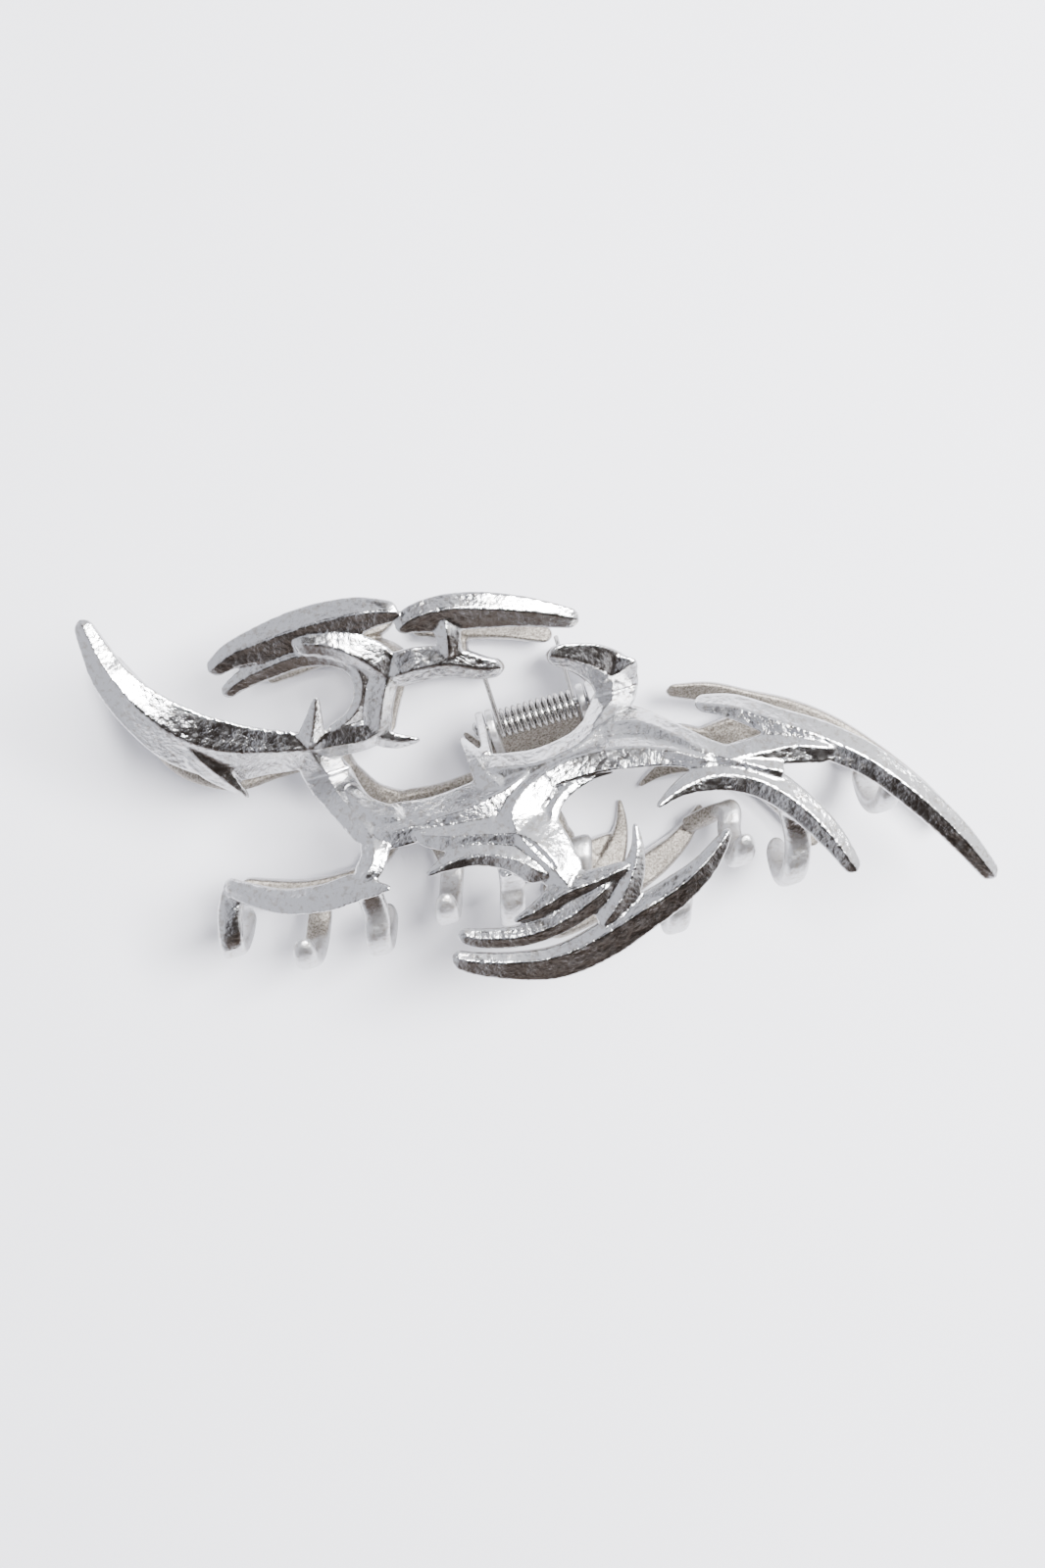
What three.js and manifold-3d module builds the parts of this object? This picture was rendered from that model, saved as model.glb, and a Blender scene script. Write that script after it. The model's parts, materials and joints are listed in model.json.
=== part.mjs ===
// Metal claw clip for hair, lying on its rear jaw.
// Millimetres. +X runs along the hinge pin, +Y from the teeth to the finger plates, +Z up.
// A jaw is drawn in the clip's own middle plane: u along the pin, v towards the finger plates,
// and w away from the middle plane. The hinge axis is the line v = 0, w = 0.

import * as THREE from "three";
import { mergeVertices } from "three/addons/utils/BufferGeometryUtils.js";
import Module from "manifold-3d";

const wasm = await Module();
wasm.setup();
const { Manifold, Mesh: ManifoldMesh } = wasm;

// ---- driving sizes ----------------------------------------------------------------------
const PLAN_SCALE = 1.0; // size of the pattern in the plane of a jaw
const BELLY_DEPTH = 16.5; // middle plane to the ridge of the belly
const HANDLE_DEPTH = 16.5; // middle plane to the ridge of the finger plates
const WAIST_DEPTH = 6.4; // middle plane to the ridge beside the pin
const END_DROP = 3.6; // how much closer the two ends of a jaw lie
const BELLY_CENTRE = -20; // v of the deepest place
const HANDLE_REACH = 22; // v where the finger plates stop rising
const BELLY_LOWER = 30; // v length of the slow curve below the belly
const FOOT_CURL = 7; // how far the foot at the left end bends in
const FOOT_CURL_FROM = -24; // u where that bend starts
const FOOT_CURL_RUN = 24; // and how long it is
const FOOT_CURL_FADE = 8; // it fades out over this much v above the belly
const PATTERN_END = 60; // u where END_DROP holds in full

const PLATE = 2.3; // casting thickness under the facets
const RIDGE_RATIO = 0.42; // ridge height for each millimetre of half width
const RIDGE_MAX = 1.5;
const UNDERSIDE = 0.72; // width of the inner face beside the outer one

const TOOTH_WIDTH = 3.4;
const TOOTH_THICK = 2.3;
const TOOTH_ROOT_DROP = 2.2; // ridge of the casting to the middle of a tooth's root
const CURL_CENTRE = 1; // w of the lowest place of a tooth
const CURL_REACH = 9; // how far a tooth curls to each side of it
const CURL_RISE = 5.5; // how far its tip comes back up
const TOOTH_LEAN = 0.29; // teeth lean this much along the pin for each millimetre up
const CURL_ANGLE = THREE.MathUtils.degToRad(165);
const CURL_STEPS = 6;
const TOOTH_SIDES = 8;
const TOOTH_TAPER = [1, 1, 1, 1, 1, 1, 1, 0.97, 0.88, 0.72, 0.36]; // from root to tip

const PIN_RADIUS = 0.6;
const PIN_FIT = 0.07; // radial clearance of the pin in every ear
const EAR_RADIUS = 2.4;
const EAR_THICK = 1.1;
const EAR_GAP = 0.25; // side clearance between ears, coil and pin heads
const HEAD_RADIUS = 1.15;
const HEAD_LENGTH = 0.7;

const WIRE = 0.7; // spring wire diameter
const COIL_RADIUS = 1.75; // centre of the wire
const COIL_LENGTH = 9.4;
const LEG_GAP = 0.3; // between a leg's ring, the coil and the jaw that the leg presses on
const TIP_GAP = 0.4; // between a leg's tip and the inside of the bar that it presses on
const FRONT_LEG_SEAT = 7.8; // v where the cross bar lies over the front leg's tip
const REAR_LEG_SEAT = 9; // v where the hook lies over the rear leg's tip
const SEAT_HALF = 1.5; // half the width of both bars there

const ROUND = 20; // sides of the round pieces
const WIRE_SIDES = 8;
const STEPS = 2; // stations for each stretch between two ridge points
const SLIVER = 0.02; // facets thinner than this are collapsed

const FRONT = 1; // side of the middle plane
const REAR = -1;

// ---- the pattern of one jaw --------------------------------------------------------------
// Each blade is a list of stations [u, v, left, right]: a place on its ridge and the width of the
// facet on each side, going along the ridge. Lengths are in millimetres before PLAN_SCALE.
const BODY_BLADES = {
  spike_ring: [[-30.6, 4, 2.2, 2.2], [-28.8, 7, 1.5, 1.2], [-27.2, 10.5, 0.4, 0.4]],
  ring: [[-38.8, 14.1, 0.9, 0.9], [-35.8, 15.3, 1.2, 1.3], [-31.6, 16, 1.5, 1.6], [-28, 16.2, 1.6, 1.6],
    [-24.4, 15.4, 1.7, 1.5], [-21.7, 13.6, 1.8, 1.4], [-20.8, 11.2, 1.6, 1.4], [-21.9, 8.3, 1.6, 1.2],
    [-24.2, 6.4, 1.6, 1], [-27.4, 5.4, 1.6, 1]],
  waist_bar: [[-30.6, 4, 2.4, 2.6], [-26.9, 3.5, 2.2, 1.6], [-22.9, 3.1, 2.4, 1.2], [-20.6, 3.8, 1.8, 1.5]],
  waist_post: [[-21.2, 2.9, 1.6, 1.3], [-20.1, 5.4, 2.1, 1.4], [-19.2, 7.2, 2.2, 1.3],
    [-17.5, 10.3, 2.2, 1.4]],
  waist_spike: [[-21.6, 3.2, 1.5, 1.4], [-19, 1.8, 1.1, 1], [-16.1, 1.2, 0.3, 0.3]],
  thumb_blade: [[-39.4, 17.4, 1.1, 1.1], [-36, 18.8, 1.6, 1.9], [-31, 19.3, 2.3, 2.6], [-25, 19.6, 2.6, 3],
    [-19, 19.3, 2.3, 2.6], [-15.8, 18.7, 1.7, 1.7], [-13.6, 18, 1.3, 1.2]],
  thumb_bar: [[-27.6, 17.8, 1.2, 1.3], [-24.5, 16.7, 2, 1.3], [-22.1, 15.3, 2.6, 1.3],
    [-19.3, 12.7, 3.2, 1.5], [-17.5, 10.3, 3, 1.6]],
  cross_bar: [[-17.5, 10.3, 3, 1.6], [-13.6, 10.3, 3, 1.7], [-9.7, 9.9, 2.4, 1.7], [-5.4, 8, 1.7, 1.3],
    [-2.7, 7.4, 1.1, 1]],
  stem: [[-8.2, 15.2, 2.4, 2], [-8.5, 12.6, 1.6, 1.6], [-9.2, 10, 1.9, 2]],
  finger_blade: [[-14.4, 15.8, 1.1, 0.9], [-12.3, 16.7, 1.7, 1.9], [-8.2, 16.8, 2, 2.8],
    [-4, 15.8, 2.2, 2.6], [1.5, 13.9, 2, 2], [5.5, 12.2, 1.6, 1.6], [8.6, 10.7, 1.2, 1.1]],
  hook: [[3.5, 7.4, 1.3, 1.2], [6.8, 5.7, 2.4, 1.6], [9.2, 4, 3.2, 2.2], [10.9, 1.7, 3.6, 2.8],
    [10.2, -0.3, 3, 2.4], [8.2, -1.9, 2.6, 1.7], [6, -3.8, 2, 1.6]],
  hook_corner: [[9.4, 2, 1.8, 2], [12, 2.5, 2.4, 2.6], [14.7, 3.4, 0.8, 0.8]],
  cheek: [[-10.8, 0, 0.3, 0.3], [-9.7, -2.6, 1.1, 1], [-8.6, -5.4, 1.9, 1.8], [-6.4, -8, 2.4, 2.4]],
  cradle: [[-8.8, -4.6, 1.7, 2], [-5, -5.4, 1.8, 2.2], [-2, -5.8, 1.8, 2.2], [1.2, -5.6, 1.8, 2.2],
    [4.4, -4.9, 1.8, 2.4], [7.2, -3.6, 1.8, 2.4], [10.6, -3.6, 1.5, 2.4]],
  shoulder: [[6.6, -3.6, 1.6, 2], [11.8, -3.9, 1.6, 2.2], [16.2, -6.9, 1.5, 2.2], [20, -10.4, 1.6, 2],
    [24.4, -13, 1.5, 1.9], [28.6, -15.4, 1.2, 1.8]],
  eye_top: [[-2.6, -7.4, 1.8, 2.2], [2.9, -6.3, 1.8, 2.6], [9.4, -6.8, 1.6, 2.8], [16.2, -9.2, 1.6, 2],
    [20.4, -11.6, 1.6, 1.6]],
  eye_side: [[-0.6, -6.8, 2.8, 1.8], [-4.8, -8.7, 3.4, 2], [-6.8, -11, 4.2, 2], [-6.7, -13.4, 4.4, 2.2],
    [-5.4, -16.2, 4.2, 2.4], [-3.2, -19.8, 3.6, 2.2], [-1.8, -22.4, 3, 1.8]],
  eye_lip: [[8, -9, 0.8, 0.9], [4.6, -9, 0.9, 0.9], [1.2, -9.8, 1.1, 1], [-1.2, -11.5, 1.1, 1],
    [-2.2, -13.9, 0.9, 0.9], [-2.2, -16.6, 0.5, 0.6]],
  body_upper: [[-25.4, -8.6, 2.6, 2.4], [-21.6, -9, 3.2, 2.3], [-16.6, -8.9, 2.6, 2.6],
    [-11.6, -8.7, 2.7, 3.2], [-6.6, -7.7, 2.6, 3.2], [-2.8, -6.3, 2.4, 2.6]],
  window_corner: [[-27, -2, 1, 1.2], [-25.9, -4.6, 1.5, 1.4], [-23.9, -6.6, 1.7, 1.4],
    [-20.6, -7.6, 1.2, 1.2]],
  body_lower: [[-19.6, -10.2, 1.4, 1.2], [-15, -11.6, 1.8, 2.2], [-10.4, -12.6, 3, 3.4],
    [-6, -14, 4.4, 4.2], [-3.6, -17, 3.4, 4], [-2.4, -21, 2.4, 3]],
  body_spike: [[-19.4, -15.5, 0.3, 0.3], [-16, -14.7, 1.2, 1.1], [-12, -14.9, 2.4, 1.5],
    [-8, -16.6, 3, 1.8], [-4.4, -19.6, 3, 2.6]],
  leaf_spike: [[-10.2, -24.2, 0.3, 0.3], [-6.8, -23.6, 1.1, 1], [-2.4, -22.4, 1.9, 1.8],
    [1.6, -22.1, 1.5, 1.8], [6, -21.3, 0.7, 1]],
  eye_spike: [[8.2, -16.4, 0.3, 0.3], [7.6, -19.6, 0.9, 0.9], [6, -22.6, 1.7, 1.6], [3.6, -25.4, 2.3, 2.2],
    [0.6, -28, 2.4, 2.2]],
  leaf_blade: [[-17.6, -24, 0.9, 0.9], [-14.4, -25.3, 1.2, 1.4], [-9.4, -26.4, 1.4, 1.4],
    [-4.6, -26, 1.6, 1.5], [-0.4, -24.6, 1.9, 1.7], [3.4, -22.8, 2, 2]],
  chin_horn: [[-19.2, -26.6, 1, 1.2], [-16.6, -27.8, 1.1, 1.9], [-12, -29.3, 1.2, 2.5],
    [-6, -30.2, 1.3, 3.2], [0, -29.2, 1.5, 3.4], [5.5, -27.6, 1.8, 3.1], [10.8, -26, 1.7, 2.6],
    [15, -24, 1.2, 2], [18, -21.9, 0.9, 1.2], [19.7, -20.5, 0.5, 0.5]],
  side_horn: [[11.5, -15.2, 0.3, 0.3], [15.2, -13.8, 1.1, 1.1], [20, -13.4, 1.9, 2.1],
    [25, -15.5, 2.3, 2.2], [29, -19.6, 2, 2.1], [32.2, -25.2, 1.7, 1.7], [34.2, -30.6, 1.1, 1.1]],
  knee_bar: [[-30.6, 4, 3, 3], [-29.8, 1, 2.9, 3.3], [-28, -3.4, 2.8, 2.6], [-26, -7, 2.6, 2.4],
    [-24.9, -10, 2.4, 2]],
  ankle: [[-25, -8.6, 2.4, 2], [-25.6, -11.6, 1.9, 1.7], [-28, -14.2, 1.7, 1.6]],
  foot: [[-47.2, -10.5, 1.2, 1.2], [-44, -12.1, 1.3, 1.6], [-39, -13.9, 1.2, 2.1],
    [-33.5, -14.5, 1.2, 2.3], [-29, -14.6, 1.6, 2], [-26.2, -15.4, 0.9, 1], [-24.3, -15.8, 0.3, 0.3]],
};
const LEFT_HORN = {
  left_horn: [[-53.9, 28.6, 1.1, 1.1], [-53.3, 25.4, 1.6, 1.8], [-52, 20.4, 2.2, 2.8],
    [-49.6, 15, 3.2, 3.5], [-46.4, 10.6, 4.1, 4.2], [-41.7, 7.2, 4.1, 4.3], [-36, 5.3, 3.1, 3.2],
    [-30.6, 4, 2.4, 2.6]],
  barb: [[-45.6, 8.4, 2, 2.2], [-43.8, 5, 1.9, 1.9], [-40.8, 0, 0.3, 0.3]],
};
const RIGHT_HORN = {
  right_horn: [[20.4, -4, 1, 1], [25, -5.9, 1.7, 1.6], [30, -9.2, 1.8, 2.2], [35, -12.7, 2, 2.7],
    [40, -17.3, 2, 2.2], [44.6, -23.3, 1.9, 2.1], [48.8, -30.2, 1.7, 1.8], [52.1, -37.1, 1.2, 1.2]],
  horn_root: [[20.6, -11.6, 1.4, 1.8], [26.6, -12.2, 2, 2], [31, -12.6, 2, 2.4], [36, -14.4, 1.8, 2]],
};
// These lie lower than the rest of the pattern, by this much.
const BLADE_DROPS = { ring: 0.8, eye_lip: 1.2 };
// The rear casting is plainer: fewer spikes, some blades shorter or narrower, and two plates more.
const SHARED_BLADES = { ...BODY_BLADES };
delete SHARED_BLADES.spike_ring;
delete SHARED_BLADES.waist_spike;
const REAR_BODY_BLADES = {
  ...SHARED_BLADES,
  ring: [[-36.8, 15.1, 0.9, 0.9], ...BODY_BLADES.ring.slice(2)],
  waist_post: [[-21.2, 2.9, 1.6, 0.9], [-20.1, 5.4, 1.6, 0.9], [-19.2, 7.2, 1.6, 0.9], [-17.5, 10.3, 2.0, 1.1]],
  thumb_blade: [...BODY_BLADES.thumb_blade.slice(0, 5), [-16.4, 18.8, 1.2, 1.2]],
  knee_bar: [[-30.6, 4, 3.0, 2.6], [-29.8, 1, 2.9, 2.2], [-28, -3.4, 2.7, 1.5], [-26, -7, 2.6, 1.4],
    [-24.9, -10, 2.4, 1.4]],
  eye_side: BODY_BLADES.eye_side.map(([u, v, left, right]) => [u, v, left, right - 1]),
  leaf_blade: [[-6.5, -26.3, 0.9, 0.9], ...BODY_BLADES.leaf_blade.slice(4)],
  chin_horn: [[-9, -29.9, 0.9, 1.4], ...BODY_BLADES.chin_horn.slice(3)],
  ankle: [...BODY_BLADES.ankle, [-31, -16, 1.6, 1.6]],
  foot: BODY_BLADES.foot.slice(0, 5).map(([u, v, left, right]) => [u, v - 1.6, left, right]),
  pin_plate: [[-7.8, -2.9, 2.0, 2.6], [-4, -2.7, 2.4, 2.6], [0, -2.6, 2.4, 2.6], [4, -2.4, 2.4, 2.6],
    [7.8, -2, 2.0, 2.6]],
  shoulder_leaf: [[15.5, -7.6, 0.8, 0.8], [19, -9.4, 1.9, 1.6], [23, -11.6, 2.2, 1.8], [27, -12.2, 2.5, 2.0],
    [30.5, -13, 1.2, 1.5]],
};
const REAR_LEFT_HORN = { left_horn: LEFT_HORN.left_horn };
const REAR_RIGHT_HORN = {
  right_horn: [[19.3, -3.3, 0.9, 0.9], ...RIGHT_HORN.right_horn.slice(1)],
  horn_root: RIGHT_HORN.horn_root,
};
// Its two horns are set a few degrees round, and its finger blade is lower and shorter.
const LEFT_HORN_ROOT = [-29, -4];
const RIGHT_HORN_ROOT = [8, -9];
const REAR_LEFT_TURN = 8;
const REAR_RIGHT_TURN = 5;
const FINGER_ROOT = [-14.7, 15.4];
const REAR_FINGER_TURN = -4.5;
const REAR_FINGER_REACH = 0.87;

// Teeth: [u and v of the root, u and v of the lowest place].
const FRONT_TEETH = [[-46.2, -11.8, -49, -20.9], [-27.6, -15, -29.3, -26], [-8.8, -17.6, -10.9, -27],
  [10, -27.2, 10, -34.2], [28.4, -19, 26.8, -32.2]];
const REAR_TEETH = [[-38.4, -15.8, -39.6, -25.4], [-19.6, -12, -19.6, -24.8], [0, -22.6, -0.8, -27],
  [17, -22.6, 21.2, -28.2], [42.6, -19.6, 42, -26.4]];

// ---- helpers -----------------------------------------------------------------------------
function depthAt(u, v) {
  const end = END_DROP * (u / PATTERN_END) ** 2;
  if (v >= 0) {
    const rise = Math.sin((Math.PI / 2) * Math.min(v / HANDLE_REACH, 1));
    return WAIST_DEPTH + (HANDLE_DEPTH - WAIST_DEPTH) * rise - end;
  }
  const waistShare = WAIST_DEPTH / BELLY_DEPTH;
  const upper = -BELLY_CENTRE / Math.sqrt(1 - waistShare ** 2);
  const reach = v > BELLY_CENTRE ? upper : BELLY_LOWER;
  const bend = THREE.MathUtils.clamp((FOOT_CURL_FROM - u) / FOOT_CURL_RUN, 0, 1) ** 1.5;
  const curl = FOOT_CURL * bend * Math.min(-v / FOOT_CURL_FADE, 1);
  return BELLY_DEPTH * Math.sqrt(1 - ((v - BELLY_CENTRE) / reach) ** 2) - end - curl;
}

function solidFrom(rings) {
  const sides = rings[0].length;
  const points = rings.flat();
  const faces = [];
  for (let i = 0; i + 1 < rings.length; i += 1) {
    for (let k = 0; k < sides; k += 1) {
      const a = i * sides + k;
      const b = i * sides + ((k + 1) % sides);
      faces.push([a, b, b + sides], [a, b + sides, a + sides]);
    }
  }
  const last = (rings.length - 1) * sides;
  for (let k = 1; k + 1 < sides; k += 1) {
    faces.push([0, k + 1, k], [last, last + k, last + k + 1]);
  }
  return manifoldFrom(points.flatMap((p) => [p.x, p.y, p.z]), faces.flat());
}

function manifoldFrom(coordinates, indices) {
  const volume = signedVolume(coordinates, indices);
  const outward = volume > 0 ? indices : indices.map((_, i) => indices[i - (i % 3) + (2 - (i % 3))]);
  const mesh = { numProp: 3, vertProperties: new Float32Array(coordinates), triVerts: new Uint32Array(outward) };
  return new Manifold(new ManifoldMesh(mesh));
}

function signedVolume(coordinates, indices) {
  const corner = (i) => new THREE.Vector3().fromArray(coordinates, indices[i] * 3);
  let six = 0;
  for (let i = 0; i < indices.length; i += 3) {
    six += corner(i).dot(corner(i + 1).cross(corner(i + 2)));
  }
  return six;
}

function manifoldOf(geometry) {
  const bare = geometry.clone();
  bare.deleteAttribute("normal");
  bare.deleteAttribute("uv");
  const merged = mergeVertices(bare, 1e-4);
  return manifoldFrom(Array.from(merged.attributes.position.array), Array.from(merged.index.array));
}

function geometryOf(solid) {
  const mesh = solid.getMesh();
  const geometry = new THREE.BufferGeometry();
  geometry.setAttribute("position", new THREE.BufferAttribute(mesh.vertProperties, 3));
  geometry.setIndex(new THREE.BufferAttribute(mesh.triVerts, 1));
  geometry.computeVertexNormals();
  return geometry;
}

function joined(solids) {
  return solids.reduce((all, next) => all.add(next));
}

// Crossing facets leave slivers far thinner than any cutter: collapse them, and keep the body itself.
function cleaned(solid) {
  const bodies = solid.simplify(SLIVER).decompose();
  return bodies.reduce((best, next) => (next.volume() > best.volume() ? next : best));
}

function alongX(radius, from, to, sides = ROUND) {
  const cylinder = new THREE.CylinderGeometry(radius, radius, to - from, sides);
  cylinder.rotateZ(Math.PI / 2);
  cylinder.translate((from + to) / 2, 0, 0);
  return manifoldOf(cylinder);
}

// ---- one jaw -----------------------------------------------------------------------------
function stationsOf(points) {
  const scaled = points.map((p) => p.map((value) => value * PLAN_SCALE));
  const ridge = new THREE.CatmullRomCurve3(scaled.map(([u, v]) => new THREE.Vector3(u, v, 0)));
  const widths = new THREE.CatmullRomCurve3(scaled.map(([, , l, r]) => new THREE.Vector3(l, r, 0)));
  const count = STEPS * (points.length - 1);
  return Array.from({ length: count + 1 }, (_, i) => {
    const t = i / count;
    const along = ridge.getTangent(t);
    return { at: ridge.getPoint(t), side: new THREE.Vector3(-along.y, along.x, 0), width: widths.getPoint(t) };
  });
}

function ridgeHeight(half) {
  return Math.min(RIDGE_RATIO * half, RIDGE_MAX);
}

function plateDepth(half) {
  return Math.min(PLATE, 0.5 + half);
}

function blade(points, jawSide, drop) {
  const rings = stationsOf(points).map(({ at, side, width }) => {
    const half = (width.x + width.y) / 2;
    const ridge = ridgeHeight(half);
    const plate = plateDepth(half);
    const corner = (across, down) => {
      const place = at.clone().addScaledVector(side, across);
      place.z = jawSide * (depthAt(place.x / PLAN_SCALE, place.y / PLAN_SCALE) - drop - down);
      return place;
    };
    return [
      corner(0, 0),
      corner(width.x, ridge),
      corner(width.x * UNDERSIDE, ridge + plate),
      corner(-width.y * UNDERSIDE, ridge + plate),
      corner(-width.y, ridge),
    ];
  });
  return solidFrom(rings);
}

// A tooth drops from the casting and curls through the middle plane, between the other jaw's teeth.
function tooth([rootU, rootV, lowU, lowV], jawSide) {
  const rootDepth = depthAt(rootU, rootV) - TOOTH_ROOT_DROP;
  const places = [[rootU, rootV, rootDepth]];
  for (let i = 0; i <= CURL_STEPS; i += 1) {
    const angle = (i / CURL_STEPS) * CURL_ANGLE;
    const reach = angle < Math.PI / 2 ? Math.min(CURL_REACH, rootDepth - CURL_CENTRE) : CURL_REACH;
    const up = CURL_RISE * (1 - Math.sin(angle));
    places.push([lowU + TOOTH_LEAN * up, lowV + TOOTH_THICK / 2 + up, CURL_CENTRE + reach * Math.cos(angle)]);
  }
  const scaled = places.map((p) => p.map((value) => value * PLAN_SCALE));
  const spine = new THREE.CatmullRomCurve3(scaled.map(([u, v, w]) => new THREE.Vector3(u, v, w * jawSide)));
  const count = TOOTH_TAPER.length - 1;
  const rings = TOOTH_TAPER.map((taper, i) => {
    const at = spine.getPoint(i / count);
    const along = spine.getTangent(i / count);
    const across = new THREE.Vector3(1, 0, 0).addScaledVector(along, -along.x).normalize();
    const outward = new THREE.Vector3().crossVectors(along, across);
    return Array.from({ length: TOOTH_SIDES }, (_, k) => {
      const angle = ((k + 0.5) / TOOTH_SIDES) * Math.PI * 2;
      return at.clone()
        .addScaledVector(across, (TOOTH_WIDTH / 2) * taper * Math.cos(angle))
        .addScaledVector(outward, (TOOTH_THICK / 2) * taper * Math.sin(angle));
    });
  });
  return solidFrom(rings);
}

function turned(points, [u, v], degrees, reach = 1) {
  const angle = THREE.MathUtils.degToRad(degrees);
  const across = reach * Math.cos(angle);
  const up = reach * Math.sin(angle);
  return points.map(([pu, pv, left, right]) => [
    u + (pu - u) * across - (pv - v) * up,
    v + (pu - u) * up + (pv - v) * across,
    left,
    right,
  ]);
}

// An ear is a flat lug across the pin, with a foot that runs up into the casting.
function ear(inner, handSide, jawSide) {
  const outline = new THREE.Shape();
  const foot = depthAt(inner, -5) - PLATE;
  outline.absarc(0, 0, EAR_RADIUS, Math.PI * 0.12, Math.PI * 1.08, true);
  outline.lineTo(-6.4, foot);
  outline.lineTo(-2.6, foot + 0.2);
  const plate = new THREE.ExtrudeGeometry(outline, { depth: EAR_THICK, bevelEnabled: false, curveSegments: 12 });
  const toRow = new THREE.Matrix4().makeBasis(
    new THREE.Vector3(0, 1, 0),
    new THREE.Vector3(0, 0, jawSide),
    new THREE.Vector3(1, 0, 0),
  );
  plate.applyMatrix4(toRow);
  plate.translate(handSide > 0 ? inner : -inner - EAR_THICK, 0, 0);
  return manifoldOf(plate);
}

const COIL_HALF = COIL_LENGTH / 2;
const RING_CENTRE = COIL_HALF + LEG_GAP + WIRE / 2;
const REAR_EAR = RING_CENTRE + WIRE / 2 + EAR_GAP;
const FRONT_EAR = REAR_EAR + EAR_THICK + EAR_GAP;
const PIN_HALF = FRONT_EAR + EAR_THICK + EAR_GAP;

function jaw(jawSide, { body, leftHorn, rightHorn, teeth, earAt }) {
  const blades = Object.entries({ ...body, ...leftHorn, ...rightHorn });
  const pieces = blades.map(([name, points]) => blade(points, jawSide, BLADE_DROPS[name] ?? 0));
  pieces.push(...teeth.map((t) => tooth(t, jawSide)));
  pieces.push(ear(earAt, 1, jawSide), ear(earAt, -1, jawSide));
  const bore = alongX(PIN_RADIUS + PIN_FIT, -PIN_HALF - 1, PIN_HALF + 1, ROUND);
  return geometryOf(cleaned(joined(pieces).subtract(bore)));
}

// ---- pin and spring ----------------------------------------------------------------------
function pin() {
  const half = PIN_HALF;
  const profile = [
    [0, -half - HEAD_LENGTH], [HEAD_RADIUS * 0.6, -half - HEAD_LENGTH], [HEAD_RADIUS, -half - HEAD_LENGTH / 2],
    [HEAD_RADIUS, -half], [PIN_RADIUS, -half], [PIN_RADIUS, half], [HEAD_RADIUS, half],
    [HEAD_RADIUS, half + HEAD_LENGTH / 2], [HEAD_RADIUS * 0.6, half + HEAD_LENGTH], [0, half + HEAD_LENGTH],
  ];
  const geometry = new THREE.LatheGeometry(profile.map(([x, y]) => new THREE.Vector2(x, y)), ROUND);
  geometry.rotateZ(-Math.PI / 2);
  return geometryOf(manifoldOf(geometry));
}

function coil() {
  const outside = alongX(COIL_RADIUS + WIRE / 2, -COIL_HALF, COIL_HALF);
  const inside = alongX(COIL_RADIUS - WIRE / 2, -COIL_HALF - 1, COIL_HALF + 1);
  return geometryOf(outside.subtract(inside));
}

// A leg starts with an open ring round the pin and runs straight off it to the inside of a bar.
function leg(handSide, jawSide, seat) {
  const x = handSide * RING_CENTRE;
  const half = SEAT_HALF * PLAN_SCALE;
  const barInside = depthAt(x / PLAN_SCALE, seat) - ridgeHeight(half) - plateDepth(half);
  const reachV = seat * PLAN_SCALE;
  const reachW = barInside - TIP_GAP - WIRE / 2;
  const far = Math.hypot(reachV, reachW);
  const direction = Math.atan2(reachW, reachV);
  const leave = direction + Math.acos(COIL_RADIUS / far);
  const turns = 0.7 * Math.PI * 2;
  const points = [];
  for (let i = 0; i <= 12; i += 1) {
    const angle = leave + turns * (1 - i / 12);
    points.push([Math.cos(angle) * COIL_RADIUS, Math.sin(angle) * COIL_RADIUS]);
  }
  const [startV, startW] = points[points.length - 1];
  for (const share of [0.34, 0.67, 1]) {
    points.push([startV + (reachV - startV) * share, startW + (reachW - startW) * share]);
  }
  const places = points.map(([v, w]) => new THREE.Vector3(x, v, w * jawSide));
  const rings = places.map((at, i) => {
    const along = places[Math.min(i + 1, places.length - 1)].clone().sub(places[Math.max(i - 1, 0)]).normalize();
    const across = new THREE.Vector3(1, 0, 0);
    const outward = new THREE.Vector3().crossVectors(along, across);
    return Array.from({ length: WIRE_SIDES }, (_, k) => {
      const angle = (k / WIRE_SIDES) * Math.PI * 2;
      return at.clone()
        .addScaledVector(across, (WIRE / 2) * Math.cos(angle))
        .addScaledVector(outward, (WIRE / 2) * Math.sin(angle));
    });
  });
  return geometryOf(solidFrom(rings));
}

// ---- assembly ----------------------------------------------------------------------------
const PLATED = { color: 0xc9c9c8, roughness: 0.2, metalness: 1 };
const SPRING_WIRE = { color: 0xb9b9bb, roughness: 0.25, metalness: 1 };

function piece(name, geometry, look) {
  const mesh = new THREE.Mesh(geometry, new THREE.MeshStandardMaterial(look));
  mesh.name = name;
  return mesh;
}


function turnedSet(blades, root, degrees) {
  const entries = Object.entries(blades).map(([name, points]) => [name, turned(points, root, degrees)]);
  return Object.fromEntries(entries);
}

const FRONT_PATTERN = {
  body: BODY_BLADES,
  leftHorn: LEFT_HORN,
  rightHorn: RIGHT_HORN,
  teeth: FRONT_TEETH,
  earAt: FRONT_EAR,
};
const REAR_FINGER = turned(BODY_BLADES.finger_blade, FINGER_ROOT, REAR_FINGER_TURN, REAR_FINGER_REACH);
const REAR_PATTERN = {
  body: { ...REAR_BODY_BLADES, finger_blade: REAR_FINGER },
  leftHorn: turnedSet(REAR_LEFT_HORN, LEFT_HORN_ROOT, REAR_LEFT_TURN),
  rightHorn: turnedSet(REAR_RIGHT_HORN, RIGHT_HORN_ROOT, REAR_RIGHT_TURN),
  teeth: REAR_TEETH,
  earAt: REAR_EAR,
};

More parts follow.
